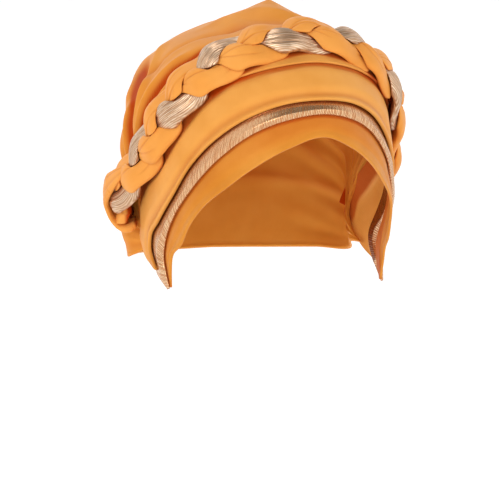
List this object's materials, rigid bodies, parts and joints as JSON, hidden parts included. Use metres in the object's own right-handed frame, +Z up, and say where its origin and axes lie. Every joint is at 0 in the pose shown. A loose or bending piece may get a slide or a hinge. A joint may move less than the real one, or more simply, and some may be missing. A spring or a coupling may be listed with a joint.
{
  "type": "braided turban",
  "caption": "Ready-made braided turban: smooth stretch bands round the face, a metallic band, a plaited braid over the top and a slouchy crown with a standing corner.",
  "frame": {"origin": "on the axis of the wearer's head, level with the middle of the rim over the forehead", "axes": "-Y the way the wearer's face looks, +X to the wearer's left, +Z up along the axis of the head"},
  "size_m": [0.1965, 0.208, 0.1835],
  "materials": {
    "inner_band": "smooth stretch knit with a soft sheen",
    "gold_band": "ribbed cloth woven with metallic thread",
    "wide_band": "smooth stretch knit with a soft sheen",
    "upper_band": "smooth stretch knit with a soft sheen",
    "braid_strand_gold": "gathered cloth woven with metallic thread",
    "braid_strand_orange_1": "smooth stretch knit with a soft sheen",
    "braid_strand_orange_2": "smooth stretch knit with a soft sheen",
    "crown": "smooth stretch knit with a soft sheen"
  },
  "bodies": {
    "root": {"inner_band": "inner_band", "gold_band": "gold_band", "wide_band": "wide_band", "upper_band": "upper_band", "braid_strand_gold": "braid_strand_gold", "braid_strand_orange_1": "braid_strand_orange_1", "braid_strand_orange_2": "braid_strand_orange_2", "crown": "crown"}
  },
  "joints": []
}
